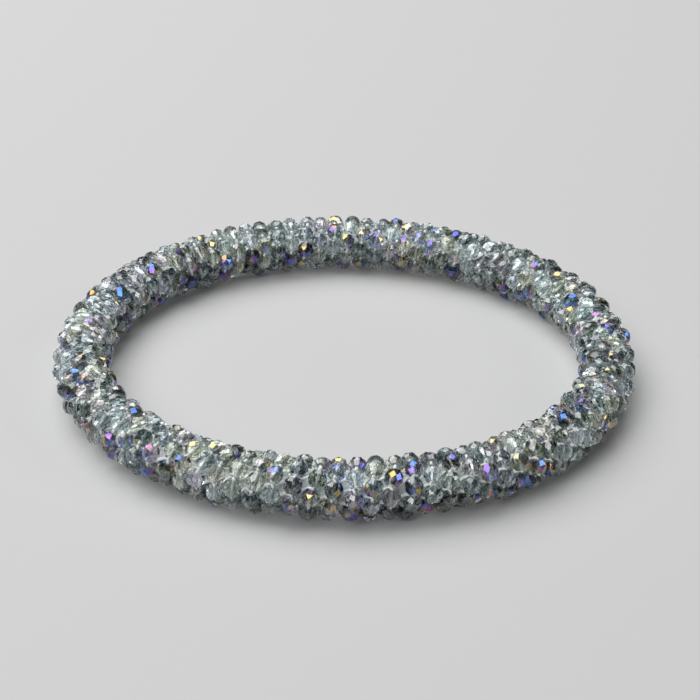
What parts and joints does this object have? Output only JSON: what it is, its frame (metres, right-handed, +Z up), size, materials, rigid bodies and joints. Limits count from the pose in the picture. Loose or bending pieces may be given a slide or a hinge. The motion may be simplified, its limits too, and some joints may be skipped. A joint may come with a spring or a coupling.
{
  "type": "beaded bracelet",
  "caption": "Roll-on bracelet: a closed rope of small faceted glass beads crocheted over a thread cord, worn on the wrist with no clasp.",
  "frame": {"origin": "on the surface that the bracelet lies on, at the centre of the ring", "axes": "+Z up out of the surface and along the ring's own axis; X and Y lie in the plane of the ring"},
  "size_m": [0.0756, 0.0756, 0.0076],
  "materials": {
    "bead_glass": "clear pale grey faceted glass, with a rainbow mirror coating over one side of each bead",
    "crochet_thread": "white twisted thread in close crochet stitches"
  },
  "bodies": {
    "root": {"bead_rope": "bead_glass", "thread_cord": "crochet_thread"}
  },
  "joints": []
}
